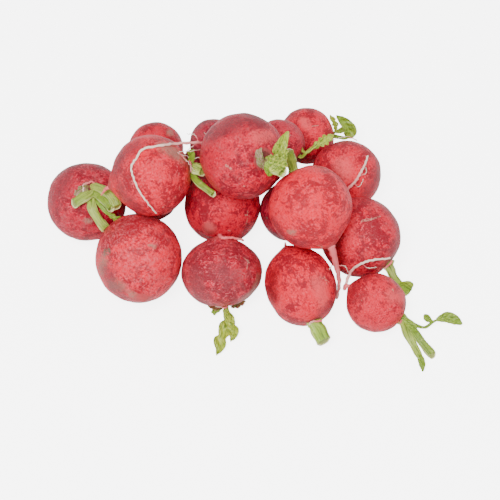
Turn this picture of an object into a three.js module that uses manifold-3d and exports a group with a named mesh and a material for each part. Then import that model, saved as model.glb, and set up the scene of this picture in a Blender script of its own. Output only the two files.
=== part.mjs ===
// A small heap of red radishes, trimmed to their leaf stalks.
// Units are millimetres, +Z is up, the table top is z = 0 and +Y runs from the front row to the back row.
// Directions are given as [bearing, rise]: degrees around +Z from +X, and degrees above the horizontal.

import * as THREE from 'three';
import { mergeVertices } from 'three/addons/utils/BufferGeometryUtils.js';
import Module from 'manifold-3d';

const wasm = await Module();
wasm.setup();

// ---------------------------------------------------------------- driving dimensions

const CLEARANCE = 0.3; // air left between two neighbouring pieces
const FLAT_DEPTH = 0.5; // how far a bulb's underside is flattened where it rests on the table
const SETTLE_STEP = 0.05; // steps in which a bulb is raised until it is clear of those below it
const CROWN_SHARE = 0.16; // the leaf crown's width, as a share of the bulb's
const CROWN_DIP = 0.5; // how deep the middle of the crown is sunk
const TAPER_START = 158; // degrees from the crown where the bulb starts to narrow into its root
const TIP_SHARE = 0.06; // half width of the root's tip, as a share of the bulb's
const NECK_SHARE = 0.13; // half width of the root's neck, as a share of the bulb's
const NECK_PLACE = 0.2; // where the neck sits along the free root tip
const ROOT_START = 0.46; // where a long root starts inside its bulb, as a share of the bulb's length
const ROOT_OUT = 0.8; // how far a long root runs straight out of its bulb before it bends
const BLADE_SHIFT = 0.3; // how far a blade's middle lies past its stalk's end, as a share of its length
const BLADE_THICK = 1.0; // thickness of a leaf blade
const ROOT_LIFT = 1.4; // height of a root's centre line above a bulb that it lies on

const UP = new THREE.Vector3(0, 0, 1);
const LATHE_AXIS = new THREE.Vector3(0, 1, 0);

// Bulbs are settled in this order, so each row rests on those above it in the list.
// across and along are the bulb's diameter and its length from crown to root; tail is the free root tip.
const RADISHES = [
  { name: 'front_left', x: -44.8, y: -13.5, across: 34.8, along: 36.2, crown: [97, -2], tail: 2 },
  { name: 'front_middle', x: -11.4, y: -18.7, across: 32.4, along: 27.6, crown: [-86, -42], tail: 1.5 },
  { name: 'front_right', x: 20.3, y: -24.6, across: 28.4, along: 33.2, crown: [-71, -8], tail: 2 },
  { name: 'small_front', x: 50.2, y: -30.7, across: 23.4, along: 24.2, crown: [-27, -15], tail: 1.5 },
  { name: 'far_left', x: -67.5, y: 14, across: 32.6, along: 32, crown: [-47, 72], tail: 0.5 },
  { name: 'centre', x: -11.4, y: 12.5, across: 31, along: 31, crown: [71, -20], tail: 1 },
  { name: 'right', x: 45.1, y: -3, across: 32.4, along: 32.8, crown: [-43, -9], tail: 1.5 },
  { name: 'under_right', x: 17.2, y: 11.8, across: 25.8, along: 25, crown: [102, -22], tail: 1 },
  { name: 'right_back', x: 40.4, y: 28.3, across: 29.4, along: 29, crown: [72, -2], tail: 2 },
  { name: 'back_right', x: 24.4, y: 50.2, across: 24.2, along: 24, crown: [11, -7], tail: 2 },
  { name: 'back_left', x: -40.5, y: 44, across: 23.2, along: 23, crown: [78, -22], tail: 2 },
  { name: 'under_left', x: -41, y: 21, across: 22, along: 21.6, crown: [-150, 10], tail: 1 },
  { name: 'under_back', x: -21, y: 35.2, across: 18.4, along: 18.4, crown: [100, 10], tail: 1 },
  { name: 'under_middle', x: 3.8, y: 37.4, across: 23, along: 22.6, crown: [80, 20], tail: 1 },
  { name: 'small_back', x: -14.8, y: 33.7, across: 20.2, along: 20, crown: [150, -30], tail: 1 },
  { name: 'small_top', x: 12.2, y: 32.5, across: 20.6, along: 20.4, crown: [-34, -5], tail: 1 },
  { name: 'top_left', x: -39, y: 11.1, across: 32, along: 31.6, crown: [16, 2], tail: 4 },
  { name: 'top_right', x: 23.4, y: -4, across: 32.6, along: 32, crown: [120, 21], tail: 1 },
  { name: 'top_middle', x: -2.9, y: 15.8, across: 33.6, along: 33.2, crown: [-46, 41], tail: 1 },
];

// Long roots. Each starts at its own bulb's root end. A waypoint is either { on, at }, a direction
// on the named bulb that the root lies over, or { free }, a place [x, y, z] in the open.
const ROOTS = [
  {
    of: 'top_middle',
    thick: 1.5,
    route: [
      { free: [-17, 24.5, 42] },
      { free: [-21.5, 21.5, 47.5] },
      { on: 'top_left', at: [38, 40] },
      { on: 'top_left', at: [35, 65] },
      { on: 'top_left', at: [150, 82] },
      { on: 'top_left', at: [-150, 72] },
      { on: 'top_left', at: [-140, 60] },
      { on: 'top_left', at: [-122, 50] },
      { on: 'top_left', at: [-105, 35] },
      { on: 'top_left', at: [-93, 20] },
      { on: 'top_left', at: [-82, -5] },
    ],
  },
  {
    of: 'top_right',
    thick: 2,
    route: [{ free: [33.5, -20, 26] }, { free: [35.6, -23, 15] }, { free: [35.4, -25, 4] }],
  },
  {
    of: 'right',
    thick: 1.4,
    route: [
      { free: [35, 10.5, 22] },
      { on: 'right_back', at: [-90, 36] },
      { on: 'right_back', at: [-75, 46] },
      { on: 'right_back', at: [-58, 55] },
      { on: 'right_back', at: [-32, 60] },
      { on: 'right_back', at: [5, 58] },
    ],
  },
  {
    of: 'small_front',
    thick: 1.3,
    route: [
      { free: [37.8, -25.2, 13] },
      { on: 'right', at: [-106, 2] },
      { on: 'right', at: [-95, 20] },
      { on: 'right', at: [-78, 26] },
      { on: 'right', at: [-50, 16] },
    ],
  },
  {
    of: 'front_middle',
    thick: 1.4,
    route: [
      { on: 'front_middle', at: [86, 54] },
      { on: 'front_middle', at: [66, 46] },
      { on: 'front_middle', at: [48, 32] },
    ],
  },
];

// Leaf stalks. path is the centre line, as offsets [x, y, z] from the middle of the bulb's crown.
// size is the section's width and thickness. blade is the length and width of a leaf blade at the
// far end. branch is a second centre line that leaves the same stalk.
const STALKS = [
  { name: 'stalk_far_left_stub', of: 'far_left', size: [4.4, 3.2], kind: 'stalk',
    path: [[0, -2, 0], [-2.5, -4.5, 1], [-6, -7, 0.5]] },
  { name: 'stalk_far_left_thick', of: 'far_left', size: [3.6, 3.2], kind: 'stalk',
    path: [[2, 1, 0.5], [6.5, -2.5, 2.5], [9.5, -5.5, 2], [11, -8.5, 0]] },
  { name: 'stalk_far_left_hollow', of: 'far_left', size: [3.2, 2.8], kind: 'stalk',
    path: [[2.5, -2.5, 0], [6, -6, 1], [9, -9.5, 0.5]] },
  { name: 'stalk_far_left_flat', of: 'far_left', size: [3.6, 2.2], kind: 'stalk',
    path: [[0.5, -4, -1], [1, -8, -1.5], [3.5, -12, -3.5], [6.5, -15, -6]] },
  { name: 'leaf_far_left', of: 'far_left', size: [1.8, 1.4], blade: [4, 3], kind: 'leaf',
    path: [[3, -5, -1.5], [6, -8.5, -2.5], [9.5, -10.5, -5], [12, -10.5, -7]] },
  { name: 'scale_far_left', of: 'far_left', size: [3.4, 0.8], kind: 'scale',
    path: [[-1.5, 0.5, 0.5], [-3.5, -1, 0.5], [-6, -2.5, 0]] },
  { name: 'stalk_top_left_stub', of: 'top_left', size: [5.2, 3.6], kind: 'stalk',
    path: [[0.5, -0.5, 0], [2.5, -1.5, 0], [5, -2.5, 0]] },
  { name: 'stalk_top_left_hollow', of: 'top_left', size: [2.7, 2.4], kind: 'stalk',
    path: [[0.5, -3, -1.5], [4, -8, -1], [9.5, -12.5, -1.5]] },
  { name: 'leaf_top_left', of: 'top_left', size: [2.8, 1], kind: 'leaf',
    path: [[0.5, 1.5, 1.5], [1, 2, 3], [1.5, 3, 5]] },
  { name: 'leaf_top_middle_blade', of: 'top_middle', size: [2.4, 1.4], blade: [6, 4.4], kind: 'leaf',
    path: [[2, 0.3, 0.8], [4.5, 1, 3], [6.5, 3, 6]] },
  { name: 'leaf_top_middle_small', of: 'top_middle', size: [3, 1.6], blade: [4.5, 3.6], kind: 'leaf',
    path: [[1, -1, -0.2], [3, -2.2, 1.6], [5, -3, 3]] },
  { name: 'stalk_top_middle_stub', of: 'top_middle', size: [4.2, 3], kind: 'stalk',
    path: [[2, -2.5, -1], [4.5, -5, 0.5], [6.5, -6.5, 1]] },
  { name: 'stalk_top_middle_side', of: 'top_middle', size: [2.8, 2], kind: 'stalk',
    path: [[2.5, -1, 0.5], [5.5, -2, 2], [8, -2, 3.5]] },
  { name: 'scale_top_middle', of: 'top_middle', size: [3.8, 0.8], kind: 'scale',
    path: [[-0.5, -1, 0.5], [-2, -0.5, 1.5], [-3.5, 0.5, 2.5]] },
  { name: 'stalk_top_right', of: 'top_right', size: [4.2, 3.6], kind: 'stalk',
    path: [[1, 0.5, 0.5], [0, 2.5, 4], [-1, 4.5, 7]] },
  { name: 'leaf_small_top', of: 'small_top', size: [1.7, 1.4], blade: [10, 4.6], kind: 'leaf',
    path: [[0.5, -0.5, 0.5], [2.5, 0.5, 2.5], [4, 1.6, 3.2]] },
  { name: 'leaf_back_right_slender', of: 'back_right', size: [1.6, 0.9], kind: 'leaf',
    path: [[0.8, 0.5, 0.5], [1, 2, 3], [-1, 4, 6.6]] },
  { name: 'leaf_back_right_wide', of: 'back_right', size: [2.2, 1.3], blade: [7, 6], kind: 'leaf',
    path: [[1, -1, -0.5], [5, -1.8, -0.4], [7.4, -0.8, 1], [7.6, 0.4, 3]] },
  { name: 'leaf_front_middle_bud', of: 'front_middle', size: [2.6, 1.8], kind: 'leaf',
    path: [[-1.5, 0, -1], [-3, -1.5, -2], [-4.5, -1.5, -2.5]] },
  { name: 'stalk_front_middle', of: 'front_middle', size: [2.4, 1.8], blade: [7, 5], kind: 'stalk',
    path: [[1, -1, -0.5], [1.4, -6, -2], [-0.4, -12, -2.4], [-1.2, -15, -2.5]],
    branch: [[1.4, -5, -2], [3.4, -8.5, -2.3], [4.2, -12.5, -2.5]] },
  { name: 'stalk_front_right', of: 'front_right', size: [5.6, 3.6], blade: [5.5, 5.8], kind: 'stalk',
    path: [[0.2, -0.5, -0.5], [1.8, -3, -2.6], [3.4, -5.6, -4.2]] },
  { name: 'stalk_right', of: 'right', size: [4.6, 2.4], blade: [5.5, 5.5], kind: 'stalk',
    path: [[0, -0.6, -0.4], [1, -1.8, -3.2], [2.6, -3.2, -6.6], [5.4, -5.2, -9.6]] },
  { name: 'stalk_small_front_thick', of: 'small_front', size: [3.8, 3], blade: [6, 2.8], kind: 'stalk',
    path: [[0.8, -1.4, -0.8], [2.6, -5, -4], [4.8, -9.5, -5.6], [7, -14.5, -6.1]] },
  { name: 'stalk_small_front_round', of: 'small_front', size: [3, 2.6], kind: 'stalk',
    path: [[2, -0.6, -1.4], [6, -3.6, -4.6], [9.4, -8, -5.8], [12.4, -13, -6.2]] },
  { name: 'leaf_small_front', of: 'small_front', size: [1.8, 1.6], blade: [9, 4.6], kind: 'leaf',
    path: [[1, 1, 0.8], [5, 0.6, -0.6], [9.5, 0, -3.2], [13, 1, -4.5], [16, 2, -5]] },
];

const COLOURS = {
  bulb: { color: '#b3202d', roughness: 0.45 },
  stalk: { color: '#b9c486', roughness: 0.6 },
  leaf: { color: '#8a9a45', roughness: 0.7 },
  scale: { color: '#8b5b4a', roughness: 0.85 },
};

// Mesh fineness: enough for a plain solid, with the fine shape left to the finished look.
const BULB_SIDES = 16;
const BULB_RINGS = 8;
const TUBE_SIDES = 6;

// ---------------------------------------------------------------- geometry helpers

function heading([bearing, rise]) {
  const turn = THREE.MathUtils.degToRad(bearing);
  const tilt = THREE.MathUtils.degToRad(rise);
  return new THREE.Vector3(Math.cos(tilt) * Math.cos(turn), Math.cos(tilt) * Math.sin(turn), Math.sin(tilt));
}

// A closed three.js geometry as a manifold-3d solid: shared corners merged, slivers at the poles dropped.
function solidOf(geometry) {
  const bare = geometry.clone();
  bare.deleteAttribute('normal');
  bare.deleteAttribute('uv');
  const merged = mergeVertices(bare, 1e-4);
  const corners = merged.index.array;
  const kept = [];
  for (let i = 0; i < corners.length; i += 3) {
    const [a, b, c] = [corners[i], corners[i + 1], corners[i + 2]];
    if (a !== b && b !== c && c !== a) kept.push(a, b, c);
  }
  const vertProperties = Float32Array.from(merged.attributes.position.array);
  return new wasm.Manifold(new wasm.Mesh({ numProp: 3, vertProperties, triVerts: Uint32Array.from(kept) }));
}

function largestPiece(solid) {
  return solid.decompose().reduce((best, piece) => (piece.volume() > best.volume() ? piece : best));
}

function meshOf(name, solid, kind) {
  const { vertProperties, triVerts } = solid.getMesh();
  const geometry = new THREE.BufferGeometry();
  geometry.setAttribute('position', new THREE.BufferAttribute(Float32Array.from(vertProperties), 3));
  geometry.setIndex(new THREE.BufferAttribute(Uint32Array.from(triVerts), 1));
  geometry.computeVertexNormals();
  const mesh = new THREE.Mesh(geometry, new THREE.MeshStandardMaterial({ ...COLOURS[kind], metalness: 0 }));
  mesh.name = name;
  return mesh;
}

// A tube of oval section along a smooth line through the given points.
function tube(points, wide, thick, stepsPerPoint = 3) {
  const section = new THREE.Shape();
  section.absellipse(0, 0, wide / 2, thick / 2, 0, 2 * Math.PI, false, 0);
  // An ellipse is cut into twice as many steps as it is asked for, and its last point is its first.
  const outline = new THREE.Shape(section.getPoints(TUBE_SIDES / 2).slice(0, TUBE_SIDES));
  const extrudePath = new THREE.CatmullRomCurve3(points, false, 'centripetal');
  return new THREE.ExtrudeGeometry(outline, { steps: stepsPerPoint * (points.length - 1), extrudePath });
}

// ---------------------------------------------------------------- bulbs

// Half of a bulb's extent along a direction, taking it as an ellipsoid of revolution.
function reach(radish, direction) {
  const lean = direction.dot(radish.axis);
  return Math.hypot(radish.across * Math.sqrt(1 - lean * lean), radish.along * lean) / 2;
}

function clearOf(radish, other) {
  const apart = other.centre.clone().sub(radish.centre);
  const distance = apart.length();
  apart.normalize();
  return distance >= reach(radish, apart) + reach(other, apart) + CLEARANCE;
}

// Lifts a bulb from the table until it is clear of every bulb that already lies there.
function settle(radish, placed) {
  radish.axis = heading(radish.crown);
  radish.centre = new THREE.Vector3(radish.x, radish.y, reach(radish, UP) - FLAT_DEPTH);
  while (!placed.every((other) => clearOf(radish, other))) radish.centre.z += SETTLE_STEP;
  placed.push(radish);
}

// The bulb as a turned shape: root tip, taper, round body, shoulder and dipped leaf crown.
function bulb(radish, margin = 0) {
  const halfWide = radish.across / 2 + margin;
  const halfLong = radish.along / 2 + margin;
  const crownHalf = CROWN_SHARE * halfWide;
  const profile = [new THREE.Vector2(0, -halfLong - radish.tail - margin)];
  profile.push(new THREE.Vector2(TIP_SHARE * halfWide, -halfLong - radish.tail));
  profile.push(new THREE.Vector2(NECK_SHARE * halfWide, -halfLong - NECK_PLACE * radish.tail));
  const first = THREE.MathUtils.degToRad(TAPER_START);
  const last = Math.asin(crownHalf / halfWide);
  for (let i = 0; i <= BULB_RINGS; i += 1) {
    const around = first + ((last - first) * i) / BULB_RINGS;
    profile.push(new THREE.Vector2(halfWide * Math.sin(around), halfLong * Math.cos(around)));
  }
  profile.push(new THREE.Vector2(0, halfLong - CROWN_DIP + margin));
  const geometry = new THREE.LatheGeometry(profile, BULB_SIDES);
  geometry.applyQuaternion(new THREE.Quaternion().setFromUnitVectors(LATHE_AXIS, radish.axis));
  geometry.translate(...radish.centre);
  return geometry;
}

function crownOf(radish) {
  return radish.centre.clone().addScaledVector(radish.axis, radish.along / 2);
}

// ---------------------------------------------------------------- roots and stalks

function rootRoute(root, byName) {
  const own = byName[root.of];
  const start = own.centre.clone().addScaledVector(own.axis, -ROOT_START * own.along);
  const end = own.centre.clone().addScaledVector(own.axis, -0.5 * own.along - ROOT_OUT);
  const places = root.route.map((waypoint) => {
    if (waypoint.free) return new THREE.Vector3(...waypoint.free);
    const under = byName[waypoint.on];
    const out = heading(waypoint.at);
    return under.centre.clone().addScaledVector(out, reach(under, out) + ROOT_LIFT);
  });
  return [start, end, ...places];
}

function blade([long, wide], path, margin) {
  const tip = path[path.length - 1];
  const along = tip.clone().sub(path[path.length - 2]).normalize();
  const geometry = new THREE.SphereGeometry(0.5, 8, 5);
  geometry.scale(wide + 2 * margin, long + 2 * margin, BLADE_THICK + 2 * margin);
  geometry.translate(0, BLADE_SHIFT * long, 0);
  const side = new THREE.Vector3(along.y, -along.x, 0).normalize();
  const face = new THREE.Vector3().crossVectors(side, along);
  geometry.applyMatrix4(new THREE.Matrix4().makeBasis(side, along, face));
  geometry.translate(...tip);
  return geometry;
}

function stalk(row, crown, margin = 0) {
  const [wide, thick] = row.size.map((width) => width + 2 * margin);
  const place = (offset) => crown.clone().add(new THREE.Vector3(...offset));
  const path = row.path.map(place);
  let solid = solidOf(tube(path, wide, thick));
  if (row.branch) solid = solid.add(solidOf(tube(row.branch.map(place), 0.8 * wide, 0.8 * thick)));
  if (row.blade) solid = solid.add(solidOf(blade(row.blade, path, margin)));
  return solid;
}

// ---------------------------------------------------------------- the heap

const placed = [];
RADISHES.forEach((radish) => settle(radish, placed));
const byName = Object.fromEntries(RADISHES.map((radish) => [radish.name, radish]));

const tableBox = new THREE.BoxGeometry(400, 400, 20);
tableBox.translate(0, 0, -10);
const table = solidOf(tableBox);

const heap = new THREE.Group();
const finished = [];
const keepOut = RADISHES.map((radish) => {
  const bare = { ...radish, tail: 0 };
  return { of: radish.name, solid: solidOf(bulb(bare, CLEARANCE)) };
});

for (const radish of RADISHES) {
  let solid = solidOf(bulb(radish));
  const others = keepOut.filter((entry) => entry.of !== radish.name);
  const root = ROOTS.find((row) => row.of === radish.name);
  if (root) {
    const route = rootRoute(root, byName);
    const wide = root.thick + 2 * CLEARANCE;
    solid = solid.add(solidOf(tube(route, root.thick, root.thick)));
    keepOut.push({ of: radish.name, solid: solidOf(tube(route, wide, wide)) });
  }
  for (const other of others) solid = solid.subtract(other.solid);
  solid = largestPiece(solid.subtract(table));
  finished.push(meshOf(`radish_${radish.name}`, solid, 'bulb'));
}

for (const row of STALKS) {
  const crown = crownOf(byName[row.of]);
  let solid = stalk(row, crown);
  for (const other of keepOut) solid = solid.subtract(other.solid);
  solid = largestPiece(solid.subtract(table));
  keepOut.push({ of: row.name, solid: stalk(row, crown, CLEARANCE) });
  finished.push(meshOf(row.name, solid, row.kind));
}

heap.add(...finished);

// The frame's origin is the middle of the footprint, on the table.
const box = new THREE.Box3().setFromObject(heap);
const middle = box.getCenter(new THREE.Vector3());
heap.position.set(-middle.x, -middle.y, 0);

const object = new THREE.Group();
object.add(heap);

export default object;
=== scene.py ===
# %% [markdown]
# # A heap of small red radishes
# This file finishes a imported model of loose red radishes. The frame already holds every bulb, stalk
# and leaf as a plain solid in its right place. Here each one gets a grown shape and a real skin.
# Everything is in metres. Plans are written in millimetres and multiplied by MM.

# %% Load the frame
import math

import bpy
from mathutils import Matrix, Vector, kdtree


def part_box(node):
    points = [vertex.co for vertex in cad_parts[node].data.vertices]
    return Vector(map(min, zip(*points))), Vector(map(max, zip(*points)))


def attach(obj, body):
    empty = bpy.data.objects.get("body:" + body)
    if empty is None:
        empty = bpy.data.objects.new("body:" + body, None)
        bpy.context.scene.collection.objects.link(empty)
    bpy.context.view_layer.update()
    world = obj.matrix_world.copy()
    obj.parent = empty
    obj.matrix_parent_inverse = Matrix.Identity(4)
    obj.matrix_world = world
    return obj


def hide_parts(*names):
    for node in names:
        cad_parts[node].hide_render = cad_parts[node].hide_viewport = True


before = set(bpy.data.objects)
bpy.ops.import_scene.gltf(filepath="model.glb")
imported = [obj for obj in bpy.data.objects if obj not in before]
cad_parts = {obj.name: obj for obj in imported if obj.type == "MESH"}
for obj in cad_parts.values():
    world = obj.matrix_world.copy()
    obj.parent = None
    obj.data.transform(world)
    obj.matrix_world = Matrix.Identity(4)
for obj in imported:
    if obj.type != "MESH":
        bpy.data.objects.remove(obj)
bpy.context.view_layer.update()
MM = 0.001

# %% [markdown]
# ## The plan of the heap
# A radish is described by where it lies, how wide and long it is, and which way its leaf crown
# points. Directions are [bearing, rise]: degrees around the vertical from +X, and degrees above the
# horizontal. The heights are not in the plan. Each bulb starts on the table and is raised in small
# steps until it is clear of the bulbs that already lie there, as in a real heap.

# %% Plan of the bulbs
# name: (x, y, across, along, crown, tail), in millimetres and degrees
BULBS = {
    "front_left": (-44.8, -13.5, 34.8, 36.2, (97, -2), 2),
    "front_middle": (-11.4, -18.7, 32.4, 27.6, (-86, -42), 1.5),
    "front_right": (20.3, -24.6, 28.4, 33.2, (-71, -8), 2),
    "small_front": (50.2, -30.7, 23.4, 24.2, (-27, -15), 1.5),
    "far_left": (-67.5, 14, 32.6, 32, (-47, 72), 0.5),
    "centre": (-11.4, 12.5, 31, 31, (71, -20), 1),
    "right": (45.1, -3, 32.4, 32.8, (-43, -9), 1.5),
    "under_right": (17.2, 11.8, 25.8, 25, (102, -22), 1),
    "right_back": (40.4, 28.3, 29.4, 29, (72, -2), 2),
    "back_right": (24.4, 50.2, 24.2, 24, (11, -7), 2),
    "back_left": (-40.5, 44, 23.2, 23, (78, -22), 2),
    "under_left": (-41, 21, 22, 21.6, (-150, 10), 1),
    "under_back": (-21, 35.2, 18.4, 18.4, (100, 10), 1),
    "under_middle": (3.8, 37.4, 23, 22.6, (80, 20), 1),
    "small_back": (-14.8, 33.7, 20.2, 20, (150, -30), 1),
    "small_top": (12.2, 32.5, 20.6, 20.4, (-34, -5), 1),
    "top_left": (-39, 11.1, 32, 31.6, (16, 2), 4),
    "top_right": (23.4, -4, 32.6, 32, (120, 21), 1),
    "top_middle": (-2.9, 15.8, 33.6, 33.2, (-46, 41), 1),
}
CLEARANCE = 0.3  # millimetres of air between two bulbs
FLAT_DEPTH = 0.5  # how far a bulb's underside is flattened where it rests
SETTLE_STEP = 0.05


def heading(bearing, rise):
    turn, tilt = math.radians(bearing), math.radians(rise)
    return Vector((math.cos(tilt) * math.cos(turn), math.cos(tilt) * math.sin(turn), math.sin(tilt)))


# %% Settle the bulbs
class Bulb:
    """One radish of the plan: its size, the way its crown points and, once settled, its centre."""

    def __init__(self, name, x, y, across, along, crown, tail):
        self.name = name
        self.half_wide = across / 2
        self.half_long = along / 2
        self.tail = tail
        self.axis = heading(*crown)
        self.centre = Vector((x, y, self.reach(Vector((0, 0, 1))) - FLAT_DEPTH))

    def reach(self, direction):
        lean = direction.dot(self.axis)
        return math.hypot(self.half_wide * math.sqrt(max(0, 1 - lean * lean)), self.half_long * lean)

    def clear_of(self, other):
        apart = other.centre - self.centre
        direction = apart.normalized()
        return apart.length >= self.reach(direction) + other.reach(direction) + CLEARANCE

    def crown(self):
        return self.centre + self.axis * self.half_long

    def place(self, bearing, rise, lift=0.0):
        """A place over the bulb's surface, in the given direction from its centre."""
        out = heading(bearing, rise)
        return self.centre + out * (self.reach(out) + lift)


bulbs = {}
for name, plan in BULBS.items():
    bulb = Bulb(name, *plan)
    while not all(bulb.clear_of(other) for other in bulbs.values()):
        bulb.centre.z += SETTLE_STEP
    bulbs[name] = bulb

# The frame's origin is the middle of the footprint, so the plan is moved over to meet the boxes of
# these bulbs. Nothing sticks out of them sideways, so the middle of the box is the middle of the bulb.
PLAIN = ("far_left", "centre", "under_right", "under_left")
shift = Vector((0, 0, 0))
for name in PLAIN:
    low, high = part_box(f"radish_{name}")
    off = (low + high) / 2 / MM - bulbs[name].centre
    shift += Vector((off.x, off.y, 0)) / len(PLAIN)
for bulb in bulbs.values():
    bulb.centre += shift
print("the plan is shifted by", [round(value, 2) for value in shift], "mm")

# %% [markdown]
# ## Camera, table and light
# The heap is looked down on from 60 degrees above the table. A long lens from half a metre keeps the
# bulbs nearly the same size from front to back. The table and the light are plain: one broad soft
# lamp high in front, a weaker one from the right, and an even pale sky all round. The table and the
# sky look brighter to the camera than the light they give, so that the backdrop stays near white.

# %% Camera
ELEVATION = 60
DISTANCE = 0.5
LENS = 85.7
away = Vector((0, -math.cos(math.radians(ELEVATION)), math.sin(math.radians(ELEVATION))))
bpy.ops.object.camera_add(
    location=shift * MM + away * DISTANCE,
    rotation=(math.radians(90 - ELEVATION), 0, 0),
)
camera = bpy.context.object
camera.data.lens = LENS
camera.data.sensor_width = 36
camera.data.clip_start = 0.01
bpy.context.scene.camera = camera

# %% Table
TABLE_GLOW = 5.0
WORLD_SEEN = 4.5
WORLD_LIGHT = 0.39


def material(name):
    """A material with a plain Principled shader: returns it with its tree and its shader."""
    made = bpy.data.materials.new(name)
    made.use_nodes = True
    return made, made.node_tree, made.node_tree.nodes["Principled BSDF"]


bpy.ops.mesh.primitive_plane_add(size=6, location=(0, 0, 0))
table = bpy.context.object
table.name = "table"
table_finish, tree, shader = material("pale_table")
shader.inputs["Base Color"].default_value = (0.9, 0.9, 0.9, 1)
shader.inputs["Roughness"].default_value = 0.8
shader.inputs["Specular IOR Level"].default_value = 0.1
shader.inputs["Emission Color"].default_value = (1, 1, 1, 1)
seen = tree.nodes.new("ShaderNodeLightPath").outputs["Is Camera Ray"]
glow = tree.nodes.new("ShaderNodeMath")
glow.operation = "MULTIPLY"
glow.inputs[1].default_value = TABLE_GLOW
tree.links.new(seen, glow.inputs[0])
tree.links.new(glow.outputs[0], shader.inputs["Emission Strength"])
table.data.materials.append(table_finish)


# %% Lamps
def lamp(name, direction, distance, size, power):
    bpy.ops.object.light_add(type="AREA", location=direction * distance)
    made = bpy.context.object
    made.name = name
    made.data.shape = "DISK"
    made.data.size = size
    made.data.energy = power
    made.rotation_euler = direction.to_track_quat("Z", "Y").to_euler()


lamp("lamp_high_front", heading(-112, 64), 0.9, 0.45, 12.4)
lamp("lamp_right", heading(20, 50), 0.9, 0.6, 2.6)
world = bpy.data.worlds.new("pale_room")
world.use_nodes = True
tree = world.node_tree
background = tree.nodes["Background"]
background.inputs["Color"].default_value = (1, 1, 1, 1)
seen = tree.nodes.new("ShaderNodeLightPath").outputs["Is Camera Ray"]
strength = tree.nodes.new("ShaderNodeMath")
strength.operation = "MULTIPLY_ADD"
strength.inputs[1].default_value = WORLD_SEEN
strength.inputs[2].default_value = WORLD_LIGHT
tree.links.new(seen, strength.inputs[0])
tree.links.new(strength.outputs[0], background.inputs["Strength"])
bpy.context.scene.world = world

# %% [markdown]
# ## Small helpers for shaders
# A shader is a tree of nodes. These helpers add a node, set its options and fill its sockets with
# either a value or another node's output, so that each finish below reads as a short recipe.


# %% Node helpers
def node(tree, kind, inputs=None, **options):
    made = tree.nodes.new(kind)
    for option, value in options.items():
        setattr(made, option, value)
    for key, value in (inputs or {}).items():
        if isinstance(value, bpy.types.NodeSocket):
            tree.links.new(value, made.inputs[key])
        else:
            made.inputs[key].default_value = value
    return made


def sums(tree, operation, first, second=0.0, third=0.0, clamp=False):
    made = node(tree, "ShaderNodeMath", {0: first, 1: second, 2: third}, operation=operation, use_clamp=clamp)
    return made.outputs[0]


def step(tree, value, low, high, to_low=0.0, to_high=1.0):
    """A soft step: to_low below low, to_high above high."""
    inputs = {"Value": value, "From Min": low, "From Max": high, "To Min": to_low, "To Max": to_high}
    return node(tree, "ShaderNodeMapRange", inputs, interpolation_type="SMOOTHSTEP").outputs["Result"]


def tint(tree, factor, under, over, mode="MIX"):
    made = node(tree, "ShaderNodeMix", {0: factor, 6: under, 7: over}, data_type="RGBA", blend_type=mode)
    return made.outputs[2]


def clouds(tree, place, scale, detail=3.0, rough=0.5, warp=0.0):
    inputs = {"Vector": place, "Scale": scale, "Detail": detail, "Roughness": rough, "Distortion": warp}
    return node(tree, "ShaderNodeTexNoise", inputs).outputs["Fac"]


def group(name, inputs, outputs):
    """A shader group with named sockets. Returns its tree, its input node and its output node."""
    tree = bpy.data.node_groups.new(name, "ShaderNodeTree")
    for label, kind in inputs:
        tree.interface.new_socket(label, in_out="INPUT", socket_type=kind)
    for label, kind in outputs:
        tree.interface.new_socket(label, in_out="OUTPUT", socket_type=kind)
    return tree, tree.nodes.new("NodeGroupInput").outputs, tree.nodes.new("NodeGroupOutput").inputs


def use(tree, shared, inputs):
    made = tree.nodes.new("ShaderNodeGroup")
    made.node_tree = shared
    for key, value in inputs.items():
        if isinstance(value, bpy.types.NodeSocket):
            tree.links.new(value, made.inputs[key])
        else:
            made.inputs[key].default_value = value
    return made.outputs


# %% [markdown]
# ## What every radish skin shares
# A radish skin isn't one red. Close up it has broad patches of deeper and brighter red, a fine pale
# mottle where the outer skin has rubbed thin, short pale scratches in a loose net, faint rings that
# run round the bulb, and dry grey-pink soil dust in patches. All of it follows the bulb, so
# the pattern is read in the bulb's own coordinates, stored on its mesh as `grown`. The group puts
# out masks, and each radish mixes its own colours with them.

# %% Skin pattern group
FLOAT = "NodeSocketFloat"
VECTOR = "NodeSocketVector"

skin_pattern, given, result = group(
    "radish_skin_pattern",
    [("Place", VECTOR), ("Net", FLOAT), ("Mottle", FLOAT), ("Dust", FLOAT)],
    [("Bright", FLOAT), ("Pale", FLOAT), ("Dusty", FLOAT), ("Height", FLOAT)],
)
place = given["Place"]
broad = clouds(skin_pattern, place, 1.3, 3, 0.55, 0.4)
middle = clouds(skin_pattern, place, 5.0, 8, 0.68, 0.3)
fine = clouds(skin_pattern, place, 20.0, 4, 0.7)
grain = clouds(skin_pattern, place, 48.0, 2, 0.6)
patches = sums(skin_pattern, "MULTIPLY_ADD", middle, 0.5, sums(skin_pattern, "MULTIPLY", broad, 0.4))
patches = sums(skin_pattern, "MULTIPLY_ADD", fine, 0.25, patches)
# Painted shade: the bright red is held back where the fine relief is sunk, so the small pits read darker.
painted_pit_shade = step(skin_pattern, fine, 0.38, 0.47, 0.45, 1.0)
bright = sums(skin_pattern, "MULTIPLY", step(skin_pattern, patches, 0.525, 0.605), painted_pit_shade)
skin_pattern.links.new(bright, result["Bright"])

# Rings: the same clouds squeezed along the bulb's length, so they stretch around it.
squeezed = node(skin_pattern, "ShaderNodeMapping", {"Vector": place, "Scale": (1.2, 1.2, 16)}).outputs[0]
rings = step(skin_pattern, clouds(skin_pattern, squeezed, 2.2, 4, 0.6, 0.3), 0.52, 0.72)


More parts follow.
